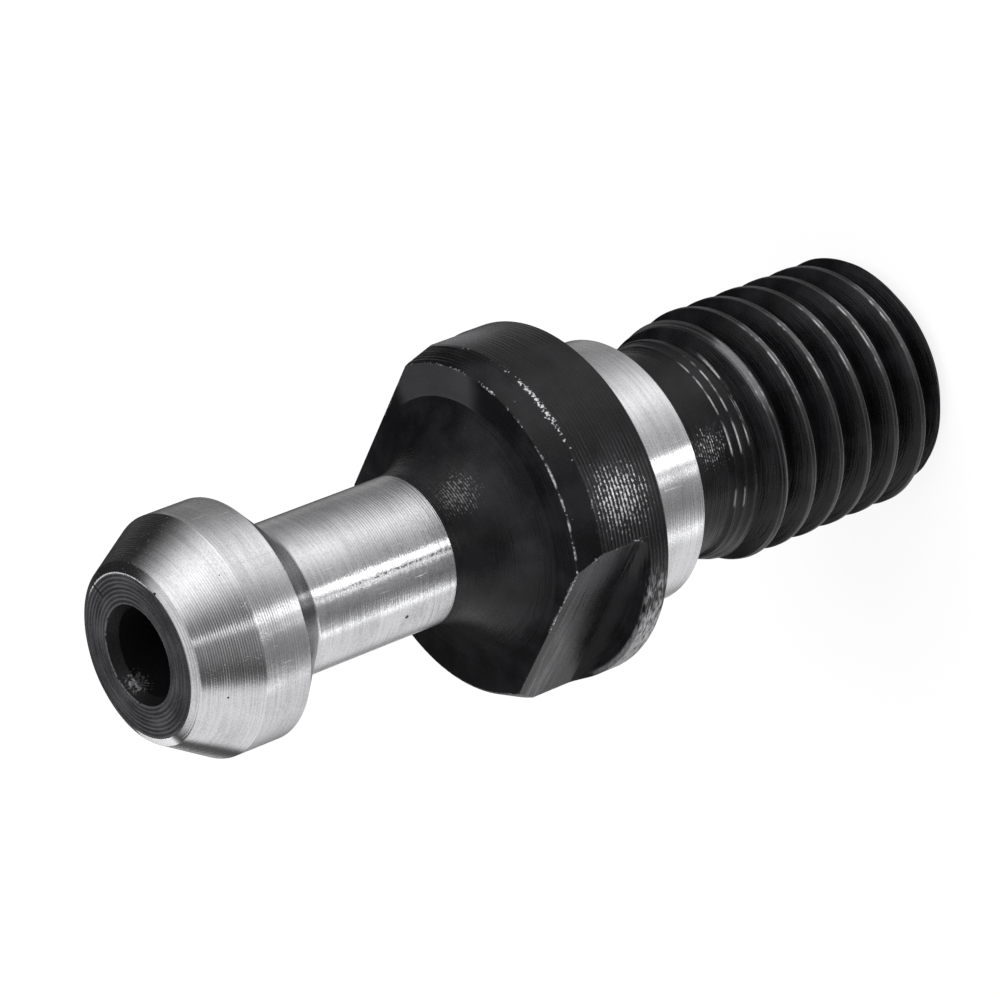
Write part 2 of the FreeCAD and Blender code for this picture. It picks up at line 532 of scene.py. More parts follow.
def zone(sheet, low, high, inner, outer):
    """1 on the faces whose middle lies between two heights and two radii."""
    x, y, z = sheet.parts(sheet.add("GeometryNodeInputPosition"))
    radius = (x * x + y * y).maths("SQRT")
    return z.between(low, high) * radius.between(inner, outer)


def group(sheet, tree, given):
    inputs = {s.name: given[s.name] for s in tree.interface.items_tree if s.in_out == "INPUT"}
    return sheet.add("GeometryNodeGroup", inputs, node_tree=tree)


def stud_tree():
    """The whole stud: turned surface and thread joined into one skin, flats milled,
    edges marked and finishes laid on by zone."""
    parts = [turned_tree(), thread_tree(), flat_cutter_tree()]
    sockets = {"Outline": "Geometry"}
    for tree in parts:
        for socket in tree.interface.items_tree:
            if socket.in_out == "INPUT":
                sockets[socket.name] = socket.socket_type.removeprefix("NodeSocket")
    lengths = ("Seat height", "Neck foot", "Pilot end height", "Overall length", "Bore zone",
               "End face zone", "Gap", "Sharp edge")
    sockets.update({name: "Float" for name in lengths})
    finishes = ("Black oxide", "Ground steel", "Turned face", "Bore wall")
    sockets.update({name: "Material" for name in finishes})
    sheet, given = new_tree("pull_stud", *sockets.items())
    body, shank, cutters = (group(sheet, tree, given) for tree in parts)

    skin = sheet.add("GeometryNodeJoinGeometry", {"Geometry": [body, shank]})
    inputs = {"Geometry": skin, "Distance": given["Gap"]}
    skin = sheet.add("GeometryNodeMergeByDistance", inputs)
    coat = given["Black oxide"]
    skin, cutters = (
        sheet.add("GeometryNodeSetMaterial", {"Geometry": solid, "Material": coat})
        for solid in (skin, cutters)
    )
    inputs = {0: skin, 1: cutters}
    skin = sheet.add(
        "GeometryNodeMeshBoolean", inputs, operation="DIFFERENCE", solver="EXACT"
    )
    skin = sheet.add("GeometryNodeSetShadeSmooth", {"Geometry": skin}, domain="FACE")
    sharp = sheet.add("GeometryNodeInputMeshEdgeAngle") > given["Sharp edge"]
    inputs = {"Geometry": skin, "Selection": sharp, "Shade Smooth": False}
    skin = sheet.add("GeometryNodeSetShadeSmooth", inputs, domain="EDGE")

    skin = sheet.add("GeometryNodeRealizeInstances", {"Geometry": skin})
    gap, top, mouth = given["Gap"], given["Overall length"], given["Bore zone"]
    steel = zone(sheet, given["Neck foot"], top + gap, mouth, FAR)
    low, high = given["Pilot end height"] + gap, given["Seat height"] - gap
    steel = steel.most(zone(sheet, low, high, mouth, FAR))
    face = zone(sheet, top - gap, top + gap, mouth, given["End face zone"])
    wall = zone(sheet, -FAR, FAR, -FAR, mouth)
    for finish, selection in zip(finishes[1:], (steel, face, wall)):
        inputs = {"Geometry": skin, "Selection": selection, "Material": given[finish]}
        skin = sheet.add("GeometryNodeSetMaterial", inputs)
    return end_tree(sheet, skin)


# Finishes. Lengths and places are in millimetres here, and heights of relief in microns.

# Pitch of the lines that the turning tool left
HEAD_FEED = 0.128
FLANGE_FEED = 0.205
SHANK_FEED = 0.135
FACE_FEED = 0.19

# How far two places may lie apart and still be on the same face
ON_FACE = 0.02
# Share of the radius in the run along the surface, so that cones and faces get lines too
RUN_RADIUS = 0.6

# Single marks: a point on the stud, and how far the mark reaches from it
CHATTERED_NECK = ((3.3, -1.0, 31.0), 5.0)
# Where the feed lines get painted shade in their grooves, on the cone, the rim and the neck
LINED_CONE = ((3.95, -2.75, 41.5), 3.6)
LINED_RIM = ((4.6, -3.0, 39.6), 2.2)
LINED_NECK = ((3.3, 0.9, 31.0), 4.5)
# Two spots where the painted shade under the head is lifted
PALE_PULL_FACE = ((4.2, -2.4, 37.0), 0.9)
PALE_NECK_ROOT = ((3.78, 1.05, 36.5), 0.9)
SCRATCHES = (
    ((4.97, -2.21, 40.5), 0.5), ((4.12, -3.64, 40.1), 0.5), ((3.10, 1.56, 33.0), 0.5),
)
PITS = (
    ((0.70, -3.43, 31.0), 0.17), ((3.70, 0.39, 42.95), 0.16), ((1.68, -4.38, 41.77), 0.09),
)
WORN_SHOULDER = ((8.2, -0.3, 23.87), 3.9)
SCUFFED_FLANGE = ((6.58, -4.95, 22.3), 3.9)
RUBBED_FLANGE = ((6.58, -4.95, 22.3), 4.4)
SCUFFED_BELL = ((3.80, -0.35, 27.0), 2.7)
SCUFFED_RELIEF = ((4.05, -2.90, 14.2), 2.6)
# Painted sheen on the flange's side by the far flat
SHEEN_FAR_SIDE = ((5.2, 6.3, 23.0), 2.8)
PALE_FIRST_TURN = ((5.70, -0.60, 11.15), 2.4)
RINGED_FACE = ((1.2, 3.1, 43.0), 3.4)
RINGED_FACE_BELOW = ((-2.2, -2.6, 43.0), 2.6)
# Painted highlight on a stretch of the end face's edge
HIGHLIT_FACE_EDGE = ((2.35, 2.90, 43.0), 3.1)
TORN_MOUTH = ((-2.0, -0.1, 42.45), 0.78)
# Places on the run-out cone where the tool ridges glint, and how strongly
RIDGE_GLINTS = ((((4.20, -3.00, 12.9), 1.1), 0.8), (((2.00, -4.80, 12.9), 0.8), 0.3))


def waves(along, pitch):
    """Even lines across a direction, from -1 to 1."""
    return (along * (math.tau / pitch)).maths("SINE")


def rgba(rgb):
    return (*rgb, 1.0)


class Finish(Sheet):
    """A material's sheet, with places on the stud in millimetres. run goes along the
    turned surface, and circle is the direction away from the axis."""

    def __init__(self, name):
        self.material = emptied(bpy.data.materials.new(name))
        super().__init__(self.material.node_tree)
        here = self.add("ShaderNodeTexCoord", output="Object")
        self.place = self.vector("SCALE", here, Scale=1 / MM)
        self.x, self.y, self.z = self.parts(self.place)
        flat = self.joined(self.x, self.y, 0.0)
        self.radius = self.vector("LENGTH", flat).other("Value")
        self.circle = self.vector("NORMALIZE", flat)
        self.run = self.z - self.radius * RUN_RADIUS

    def turned_lines(self, pitch, around=1.0, detail=1.0, shift=0.0):
        """Lines that a turning tool leaves, broken up a little on their way round."""
        along = self.joined(shift, 0.0, self.run / pitch)
        vector = self.vector("ADD", self.vector("SCALE", self.circle, Scale=around), along)
        return self.noise(vector, detail=detail)

    def grain(self, size, detail=2.0, shift=0.0):
        vector = self.vector("ADD", self.place, (shift, shift, shift))
        return self.noise(vector, scale=1 / size, detail=detail)

    def streaks(self, size, stretch, turn, shift=0.0):
        """Grain drawn out along one direction, for scratches."""
        inputs = {
            "Vector": self.place, "Rotation": turn, "Location": (shift, 0.0, 0.0),
            "Scale": (1 / size, 1 / size, 1 / stretch),
        }
        return self.noise(self.add("ShaderNodeMapping", inputs), detail=1.0)

    def streaks_along_x(self, size, stretch):
        return self.noise(self.vector("MULTIPLY", self.place, (1 / stretch, 1 / size, 1 / size)))

    def near(self, point, reach):
        """1 at a point, falling to 0 at reach from it."""
        gap = self.vector("DISTANCE", self.place, point).other("Value")
        return gap.rise(reach, 0.0)

    def ring_gap(self, radius, height):
        """Distance from a turned edge."""
        off_radius = self.radius - radius
        off_height = self.z - height
        return (off_radius * off_radius + off_height * off_height).maths("SQRT")

    def done(self, values, height, **constants):
        """Principled surface. height is the relief in microns."""
        inputs = {"Height": height, "Distance": MICRON, "Strength": 1.0}
        values["Normal"] = self.add("ShaderNodeBump", inputs)
        shader = self.add("ShaderNodeBsdfPrincipled", {**values, **constants})
        self.add("ShaderNodeOutputMaterial", {"Surface": shader})
        return self.material


def ground_steel(look, turned):
    """Bright ground steel with lines round it, dull patches, pits and scratches. The face
    under the head that the gripper pulls on gets painted shade, lifted in two spots."""
    s = Finish("ground_steel")
    neck, edge, top = turned.neck / MM / 2, turned.pull_edge / MM, turned.overall / MM
    feed = waves(s.run, HEAD_FEED)
    fine = s.turned_lines(0.075, around=1.3, detail=2.0)
    broad = s.turned_lines(0.60, around=3.0, shift=7.0)
    grain = s.grain(0.08, detail=3.0)
    patch = s.grain(1.8, detail=3.0, shift=11.0)
    on_neck = s.radius < neck + 0.1
    on_cone = s.z > edge + 2.3
    on_rim = (s.z > edge) * (1 - on_cone)

    scratch = s.streaks(0.05, 2.2, (0.9, 0.5, 0.3)).rise(0.74, 0.78)
    scratch = scratch.most(s.streaks(0.06, 1.6, (1.9, 0.2, 1.1), 5.0).rise(0.75, 0.79))
    rough = s.grain(0.12, detail=2.0).rise(0.52, 0.6)
    for mark in SCRATCHES:
        scratch = scratch.most(s.near(*mark) * rough)
    pit = s.grain(0.24, detail=0.0, shift=3.0).rise(0.90, 0.93)
    for mark in PITS:
        pit = pit.most(s.near(*mark).rise(0.3, 0.6))
    # A row of small dull dots along the neck, beside its bright line
    row = abs(s.x * 0.616 + s.y * 0.788).rise(0.08, 0.03) * (s.x > 0.0)
    dots = row * s.grain(0.13, detail=0.0, shift=8.0).rise(0.50, 0.58)
    dots = dots * on_neck * (edge - s.z).rise(2.8, 5.0)
    chatter = (s.turned_lines(0.12, around=15.0, shift=5.0) - 0.5) * on_neck
    chatter = chatter * s.near(*CHATTERED_NECK).rise(0.0, 0.3)
    # Painted shade in the feed lines' grooves on parts of the cone, rim and neck, which also get
    # deeper lines
    shaded_lines = s.near(*LINED_CONE) * on_cone
    shaded_lines = shaded_lines.most(s.near(*LINED_RIM) * 0.7).most(s.near(*LINED_NECK) * 0.42)
    # Painted shade on the face under the head, less in two spots
    pull = s.z.between(edge - 5.0, edge - 0.06) * (s.radius > neck + 0.12)
    shade_lifted = s.near(*PALE_PULL_FACE).most(s.near(*PALE_NECK_ROOT).rise(0.0, 0.6))
    # Lit part of the small chamfer round the end face
    chin = s.near((-2.85, -2.70, top - 0.10), 1.9).rise(0.0, 0.35) * (s.z > top - 0.24)

    dull = 0.22 + (fine - 0.5) * 1.2 + (grain - 0.5) * 1.2 + (patch - 0.5) * 0.9
    dull = (dull + (broad - 0.5) * 0.4 - scratch * 0.4).most(0.0).least(1.0)
    shade = s.mix(dull, rgba(look.ground), rgba(look.ground_dull))
    shade = s.mix(shaded_lines * feed.rise(-0.2, 0.7) * 0.85, shade, rgba(look.groove))
    shade = s.mix(pull * (0.85 - shade_lifted * 0.7), shade, rgba(look.pull_face))
    shade = s.mix(pit.most(dots * 0.75), shade, rgba(look.pit))
    shade = s.mix(chin, shade, rgba(look.chin))
    roughness = look.ground_roughness + (grain - 0.5) * 0.15 + dull * 0.06 + on_rim * 0.10
    height = (fine - 0.5) * 12.0 + (broad - 0.5) * 7.0 + (grain - 0.5) * 1.5
    height = height + feed * (0.8 + shaded_lines * 2.0) + chatter * 6.0
    height = height - scratch * 4.0 - pit * 12.0
    values = {"Base Color": shade, "Roughness": roughness.most(0.08), "Metallic": 1 - chin}
    return s.done(values, height, **{"Anisotropic": 0.95, "Anisotropic Rotation": 0.25})


class OxideCoat(Finish):
    """The black coat's sheet, with the places and grains that its wear is made from."""

    def __init__(self, turned, flats, thread):
        super().__init__("black_oxide")
        self.rim = turned.flange / MM / 2
        self.front = turned.flange_front_height / MM
        self.front_edge = turned.flange_front / MM / 2
        self.shoulder = self.front - turned.flange_chamfer / MM
        self.seat = turned.seat / MM
        self.half_flat = flats.across / MM / 2
        self.lip = flats.lip / MM
        self.corner = flats.corner / MM
        self.thread_start = thread.start / MM

        self.on_flange = self.z.between(self.seat, self.front)
        wide, close = waves(self.run, FLANGE_FEED), waves(self.run, SHANK_FEED)
        self.tool_lines = wide * self.on_flange + close * (1 - self.on_flange)
        self.mill_lines = self.streaks_along_x(0.055, 3.0)
        self.dashes = self.turned_lines(0.10, around=18.0, detail=2.0, shift=3.0)
        self.specks = self.grain(0.13, detail=2.0, shift=4.0)
        self.patches = self.grain(1.5, detail=3.0, shift=9.0)
        self.stretches = self.grain(0.7, detail=2.0, shift=6.0)

        self.on_side = self.radius > self.rim - 0.05
        self.side = abs(self.y)
        self.off_flat = abs(self.side - self.half_flat)
        self.flat_zone = self.z.between(self.lip, self.front + 0.2)
        self.on_flat = (self.off_flat < ON_FACE) * self.flat_zone
        self.on_lip = self.z.between(self.seat + 0.1, self.lip + 0.04)
        self.on_lip = self.on_lip * (self.side > self.half_flat - 0.05)

        turns = (self.z - thread.phase / MM) / (thread.pitch / MM)
        turns = turns - self.maths("ARCTAN2", self.y, self.x) / math.tau
        self.within_turn = turns.maths("FRACT")
        self.off_crest = (0.5 - abs(self.within_turn - 0.5)) * (thread.pitch / MM)
        self.on_thread = self.radius > thread.crest / MM - 0.35
        self.on_thread = self.on_thread * (self.z < turned.relief_end / MM)


def edge_wear(s):
    """Broad wear on the shoulder round the chamfer, strongest on one stretch of it,
    and thin broken lines on the other edges."""
    slope = (s.rim - s.front_edge) / (s.front - s.shoulder)
    cone = s.rim - (s.z - s.shoulder) * slope
    depth = cone.least(s.rim) - s.radius
    elsewhere = 10 * (1 - s.flat_zone)
    flat_side = (s.off_flat.most(depth) + elsewhere).rise(0.11, 0.02)
    flat_front = s.off_flat.most(abs(s.front - s.z)) + elsewhere
    flat_front = flat_front.rise(0.14, 0.02) * (0.3 + 0.7 * s.x.rise(-0.5, 1.2))
    front_ring = s.ring_gap(s.front_edge, s.front)

    rub = s.ring_gap(s.rim, s.shoulder).rise(0.30, 0.02)
    rub = rub * (0.12 + s.near(*WORN_SHOULDER) * 0.22)
    thin = front_ring.rise(0.13, 0.02).most(flat_side * 0.7).most(flat_front)
    rub = rub.most(thin * (0.27 + (s.stretches - 0.5) * 1.2))
    rub = rub.most(s.ring_gap(s.rim, s.seat).rise(0.16, 0.02) * 0.12)
    wear = (rub + s.specks + (s.patches - 0.5) * 0.25).rise(0.79, 0.92)
    silver = front_ring.rise(0.09, 0.03) * s.stretches.rise(0.44, 0.62)
    return (wear * (1 - s.on_lip)).most(silver * s.y.rise(1.2, -1.5) * 0.40)


def lip_wear(s):
    """Dashes on the rim of the lip that the flats end on."""
    rim = s.on_lip * (s.rim - s.radius).rise(0.30, 0.08)
    rim = rim * s.x.rise(4.2, 2.4) * s.x.rise(-4.4, -2.6)
    rub = (s.dashes - 0.5) * 2.4 + (s.stretches - 0.5) * 0.9
    return rim * (rub + s.x.rise(3.8, -1.0) * 0.48).least(0.75)


def scuffed(s):
    """Where things rubbed on the flange's side, the foot of the neck and the relief."""
    side = s.near(*SCUFFED_FLANGE) * (s.z < s.shoulder + 0.1)
    return side.most(s.near(*SCUFFED_BELL)).most(s.near(*SCUFFED_RELIEF) * 0.86)


def line_wear(s, scuff):
    """Turning lines rubbed bright where the coat is scuffed."""
    bright = scuff * 0.36 + s.dashes * 0.30 + s.specks * 0.60
    bright = (bright + s.tool_lines * scuff * 0.11).rise(0.76, 0.94)
    on_bell = s.z > s.front + 0.4
    return bright * (1 - s.on_flat) * (0.88 - on_bell * 0.66)


def thread_wear_and_glints(s, thread):
    """Thin steel lines on the crests' edges, with painted glints where crests, lands and the
    run-out's ridges face the light, and more on the lower crest edges on one side.
    """
    crest_line = abs(s.off_crest - 0.11).rise(0.05, 0.01) * s.on_thread
    crest_land = s.off_crest.rise(0.14, 0.09) * s.on_thread
    ahead, across, _ = s.parts(s.circle)
    # Painted glints: crests and ridges that face the light are made steel
    glint = (ahead * 0.99 - across * 0.14).rise(0.90, 0.985)
    low = across.rise(-0.60, -0.85) * (s.within_turn > 0.5)
    lines = 0.05 + glint * s.stretches.rise(0.44, 0.62) * 0.55 + low * 0.15
    crests = crest_line * lines + crest_land * (glint * 0.14 + low * 0.03)
    ridges = waves(s.z - thread.ridge_high / MM, thread.ridge_pitch / MM)
    on_ridges = s.z.between(thread.ridge_low / MM, thread.ridge_high / MM)
    ridge_glint = glint * s.stretches.rise(0.38, 0.58) * 0.6
    for mark, strength in RIDGE_GLINTS:
        ridge_glint = ridge_glint.most(s.near(*mark).rise(0.1, 0.5) * strength)
    return crests.least(1.0).most(ridges.rise(0.75, 0.98) * on_ridges * ridge_glint)


def milled(s):
    """Mill streaks along the flats with dark grooves, in a painted sheen that is strongest
    towards the front.
    """
    below_front = s.front - s.z
    groove = s.streaks_along_x(0.15, 7.0).rise(0.42, 0.48) * below_front.rise(1.6, 2.4)
    # Painted sheen, strongest towards the front and towards one end of the flat
    sheen_towards_front = below_front.rise(2.8, 0.8) * below_front.rise(0.34, 0.66)
    sheen_towards_front = sheen_towards_front * (0.25 + 0.75 * s.x.rise(3.5, -3.5))
    streaks = sheen_towards_front * (0.42 + (s.mill_lines - 0.5) * 4.5)
    streaks = (streaks + s.x.rise(1.2, 3.4) * 0.22) * (1 - groove)
    return streaks.most(0.0).least(1.0) * s.on_flat


def pale_and_sheen(s):
    """Grey on the coat: the flats' streaks and painted sheen, painted sheen on the far part of
    the front face and the flange's far side, rubbed lines round the flange scuff, and the first
    turn of the thread.
    """
    # Painted sheen on the far part of the front face and on the flange's side by the far flat
    far_face_sheen = s.near((5.0, 4.8, s.front), 3.6).rise(0.0, 0.3)
    far_face_sheen = far_face_sheen * (abs(s.z - s.front) < ON_FACE)
    far_side_sheen = s.near(*SHEEN_FAR_SIDE) * s.on_side
    first_turn = s.near(*PALE_FIRST_TURN).rise(0.0, 0.4) * s.on_thread
    first_turn = first_turn * (s.off_crest < 0.24) * (s.z > s.thread_start - 0.3)
    rubbed = s.near(*RUBBED_FLANGE).rise(0.0, 0.9) * s.tool_lines.rise(0.1, 0.9)
    rubbed = rubbed * s.on_side * s.stretches.rise(0.2, 0.7)
    grey = milled(s).most(far_face_sheen * 0.26).most(far_side_sheen).most(rubbed * 0.45)
    return grey.most(first_turn * (0.3 + s.specks * 0.8))


def in_corner(s):
    """The fillet between a flat and its lip, left rough by the cutter."""
    corner = (s.off_flat > ON_FACE) * (s.side < s.half_flat + s.corner)
    corner = corner * s.flat_zone * (s.z < s.lip + s.corner)
    return corner * (1 - s.on_side) * s.x.rise(3.4, 2.0)


def black_oxide(look, turned, flats, thread):
    """Oiled black coat over turning lines, rubbed down to the steel on its edges, with painted
    glints on the thread and painted sheen on the flats, front face and flange.
    """
    s = OxideCoat(turned, flats, thread)
    grain = s.grain(0.09, detail=3.0)
    fine = s.turned_lines(0.16, around=2.5, detail=2.0)
    scuff = scuffed(s)
    wear = edge_wear(s).most(lip_wear(s)).most(line_wear(s, scuff))
    # Steel showing through from wear, and the thread's painted glints
    bare_and_glints = wear.most(thread_wear_and_glints(s, thread))
    coat = s.mix(s.patches.rise(0.35, 0.75), rgba(look.oxide), rgba(look.oxide_pale))
    coat = s.mix(pale_and_sheen(s), coat, rgba(look.milled))
    shade = s.mix(bare_and_glints, coat, rgba(look.worn_and_glints))
    roughness = look.oxide_roughness + (grain - 0.5) * 0.25 + (s.patches - 0.5) * 0.12
    roughness = roughness - wear * 0.06 + in_corner(s) * 0.4
    lines = (fine - 0.5) * 26.0 + s.tool_lines * (1.2 + s.on_flange * 1.9 + scuff * 2.0)
    height = lines * (1 - s.on_flat) + (s.mill_lines - 0.5) * 14.0 * s.on_flat
    height = height + (grain - 0.5) * 11.0 - wear * 4.0
    values = {"Base Color": shade, "Roughness": roughness, "Metallic": bare_and_glints}
    return s.done(values, height, **{"Specular IOR Level": 0.20})


def turned_face(look, turned):
    """Dark end face with the rings of the facing tool, and a painted highlight on a stretch of
    its edge.
    """
    s = Finish("turned_face")
    ring = waves(s.radius, FACE_FEED)
    fine = s.turned_lines(0.07, around=1.5, detail=2.0)
    grain = s.grain(0.10, detail=3.0)
    patch = s.grain(1.4, detail=2.0, shift=2.0)
    clear = 0.12 + 0.30 * s.near(*RINGED_FACE).rise(0.0, 0.5)
    clear = clear.most(0.42 * s.near(*RINGED_FACE_BELOW).rise(0.0, 0.5))
    bright = 0.10 + ring.rise(-0.1, 0.9) * clear + (fine - 0.5) * 0.8 + (patch - 0.5) * 0.6
    bright = (bright + (grain - 0.5) * 0.5).most(0.0).least(1.0)
    # A small dark cut in from the edge of the face
    cut = abs(s.x - 0.60).rise(0.06, 0.03) * (s.y > 2.95)
    # Painted highlight: light colour on a stretch of the face's edge, broken by grain
    edge_highlight = (s.radius > turned.end_face / MM / 2 - 0.07) * grain.rise(0.30, 0.55)
    edge_highlight = edge_highlight * s.near(*HIGHLIT_FACE_EDGE).rise(0.0, 0.25)
    shade = s.mix(bright, rgba(look.face), rgba(look.face_ring))
    shade = s.mix(edge_highlight, shade, rgba(look.face_edge_highlight))
    shade = s.mix(cut, shade, rgba(look.bore))
    roughness = 0.40 + (grain - 0.5) * 0.2
    height = ring * 3.6 + (fine - 0.5) * 6.0 + (grain - 0.5) * 6.0
    values = {"Base Color": shade, "Roughness": roughness, "Metallic": 0.4}
    return s.done(values, height)


def bore_wall(look, turned):
    """Dark drilled wall, with torn burrs on one side of its mouth."""
    s = Finish("bore_wall")
    grain = s.grain(0.16, detail=3.0)
    torn = s.near(*TORN_MOUTH)
    burr = (s.grain(0.14, detail=3.0, shift=6.0) + torn * 0.24).rise(0.60, 0.80) * (torn > 0.01)
    rim = s.grain(0.16, detail=1.0, shift=1.0).rise(0.28, 0.52)
    burr = burr.most(rim * (s.z > turned.overall / MM - 0.045) * 0.5)
    shade = s.mix(burr, rgba(look.bore), rgba(look.burr))
    height = (grain - 0.5) * 20.0 + burr * 12.0
    values = {"Base Color": shade, "Roughness": 0.45 + (grain - 0.5) * 0.3, "Metallic": burr}
    return s.done(values, height, **{"Specular IOR Level": 0.15})


# Operators


def by_name(sizes):
    """A group's sizes under the names that the user sees, which its tree's inputs have."""
    names = sizes.bl_rna.properties
    return {names[key].name: getattr(sizes, key) for key in sizes.__annotations__}


def set_inputs(modifier, values):
    for socket in modifier.node_group.interface.items_tree:
        if socket.in_out == "INPUT" and socket.name in values:
            modifier[socket.identifier] = values[socket.name]


class STUD_OT_make_stud(bpy.types.Operator):
    """Make the whole stud: turned body, thread and wrench flats, with its finishes"""

    bl_idname = "stud.make_stud"
    bl_label = "Make the pull stud"

    def execute(self, context):
        scene = context.scene
        turned, flats, thread = scene.stud_turned, scene.stud_flats, scene.stud_thread
        look = scene.stud_finish
        points = stud_outline(turned, thread.end_ring)
        mesh = bpy.data.meshes.new("stud_skin")
        vertices = [(radius, 0, height) for radius, height in points]
        mesh.from_pydata(vertices, [(i, i + 1) for i in range(len(points) - 1)], [])
        stud = placed(context, "stud_skin", mesh)
        modifier = stud.modifiers.new("pull_stud", "NODES")
        modifier.node_group = stud_tree()
        set_inputs(modifier, {
            **by_name(turned), **by_name(flats), **by_name(thread),
            "Neck foot": turned.flange_front_height + turned.bell_height,
            "Bore zone": turned.bore_mouth / 2 + ZONE_MARGIN,
            "End face zone": turned.end_face / 2 - ZONE_MARGIN,
            "Gap": MERGE_GAP, "Sharp edge": SHARP_EDGE,
            "Black oxide": black_oxide(look, turned, flats, thread),
            "Ground steel": ground_steel(look, turned),
            "Turned face": turned_face(look, turned),
            "Bore wall": bore_wall(look, turned),
        })
        graph = context.evaluated_depsgraph_get()
        skin = bpy.data.meshes.new_from_object(stud.evaluated_get(graph), depsgraph=graph)
        if skin.materials[0] is None:
            skin.materials.pop(index=0)
        if not skin.polygons:
            raise RuntimeError("The stud's node tree made no faces")
        stud.modifiers.clear()
        stud.data = skin
        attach(stud, BODY)
        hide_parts(NODE)
        return {"FINISHED"}


# What metal sees round the stud: azimuth in degrees and brightness, where 1 is white.
# The first list is for rays that go down and the second for those that go up.
SEEN_BELOW = (
    (-180, 0.33), (-157, 0.50), (-148, 0.32), (-140, 0.14), (-131, 0.04), (-112, 0.06),
    (-107, 1.05), (-99, 0.48), (-91, 0.16), (-83, 0.46), (-75, 0.78), (-67, 1.00),
    (-17, 1.00), (-15, 2.20), (-9, 2.20), (-7, 0.62), (4, 0.45), (12, 0.30),
    (28, 0.48), (34, 0.58), (36, 1.90), (41, 1.90), (42.5, 0.45), (45.5, 0.45),
    (47.5, 3.40), (56, 3.40), (58, 0.66), (76, 0.72), (92, 1.00), (112, 1.45),
    (150, 0.54),
)
SEEN_ABOVE = (
    (-180, 0.03), (-140, 0.02), (-125, 0.07), (-80, 0.10), (-73, 1.05),
    (-12, 1.05), (-6, 0.98), (0, 0.24), (6, 0.11), (16, 0.14), (23, 0.26),
    (38, 0.36), (47, 0.38), (49.5, 1.60), (53, 1.60), (55, 0.34), (68, 0.36),
    (76, 0.60), (84, 1.00), (98, 1.56), (112, 1.70), (127, 1.55), (140, 1.07),
    (153, 0.46), (166, 0.17), (178, 0.04),
)
SEEN_OVERHEAD = 1.00
# Brightness that the ramps' white stands for
BRIGHTEST = 4.0
# Elevations, as the sine, between which one list gives way to the next
BELOW_TO_ABOVE = (-0.48, -0.20)
ABOVE_TO_OVERHEAD = (0.70, 0.90)


def seen(sheet):
    """1 for rays from the eye and for those that metal or glass sends on."""
    paths = sheet.add("ShaderNodeLightPath", output="Is Camera Ray")
    shiny = paths.other("Is Glossy Ray").most(paths.other("Is Transmission Ray"))
    return paths.most(shiny)


def floor_finish(look):
    material = emptied(bpy.data.materials.new("studio_floor"))
    s = Sheet(material.node_tree)
    matt = s.add("ShaderNodeBsdfDiffuse", {"Color": rgba(look.floor)})
    white = s.add("ShaderNodeEmission", {"Color": WHITE, "Strength": 1.0})
    surface = s.add("ShaderNodeMixShader", {0: seen(s) * look.floor_glow, 1: matt, 2: white})
    s.add("ShaderNodeOutputMaterial", {"Surface": surface})
    return material


def studio_ring(sheet, around, levels):
    """Brightness by azimuth, from a list of azimuths and levels."""
    stops = [
        ((azimuth + 180) / 360, (level / BRIGHTEST,) * 3 + (1.0,))
        for azimuth, level in levels
    ]
    stops.append((1.0, stops[0][1]))
    return sheet.add("ShaderNodeValToRGB", {"Fac": around}, stops=stops)


def studio_world(context, look):
    """White to the eye, an even dim light on matt surfaces, and to metal a studio with
    soft lights and dark gaps between them."""
    world = emptied(bpy.data.worlds.new("studio"))
    s = Sheet(world.node_tree)
    x, y, z = s.parts(s.add("ShaderNodeTexCoord", output="Generated"))
    around = s.maths("ARCTAN2", x, -y) / math.tau + 0.5
    below = studio_ring(s, around, SEEN_BELOW)
    above = studio_ring(s, around, SEEN_ABOVE)
    ring = s.mix(z.rise(*BELOW_TO_ABOVE), below, above)
    overhead = (SEEN_OVERHEAD / BRIGHTEST,) * 3 + (1.0,)
    ring = s.mix(z.rise(*ABOVE_TO_OVERHEAD), ring, overhead)
    paths = s.add("ShaderNodeLightPath", output="Is Camera Ray")
    dim = s.add("ShaderNodeBackground", {"Color": WHITE, "Strength": look.ambient})
    shiny = s.add("ShaderNodeBackground", {"Color": ring, "Strength": BRIGHTEST})
    plain = s.add("ShaderNodeBackground", {"Color": WHITE, "Strength": 1.0})
    factor = paths.other("Is Glossy Ray")
    surface = s.add("ShaderNodeMixShader", {0: factor, 1: dim, 2: shiny})
    factor = paths.most(paths.other("Is Transmission Ray"))
    surface = s.add("ShaderNodeMixShader", {0: factor, 1: surface, 2: plain})
    s.add("ShaderNodeOutputWorld", {"Surface": surface})
    context.scene.world = world


# Lengths here are in metres, angles in degrees and power in watts
FLOOR_HALF = 1.5
SENSOR = 36.0                 # millimetres
NEAREST = 0.01                # nothing closer to the camera is drawn
LAMP_AIM = Vector((0, 0, 0.022))
# Name, azimuth and elevation as the lamp stands round the stud, distance, width,
# height and power
LAMPS = (
    ("top_softbox", 117, 55, 0.30, 0.30, 0.30, 1.10),
    ("front_softbox", -30, 40, 0.30, 0.20, 0.20, 0.45),
)


def towards(azimuth, elevation):
    """Direction from the stud, with the azimuth turned as the views turn it."""
    a, e = math.radians(azimuth), math.radians(elevation)
    return Vector((math.sin(a) * math.cos(e), -math.cos(a) * math.cos(e), math.sin(e)))


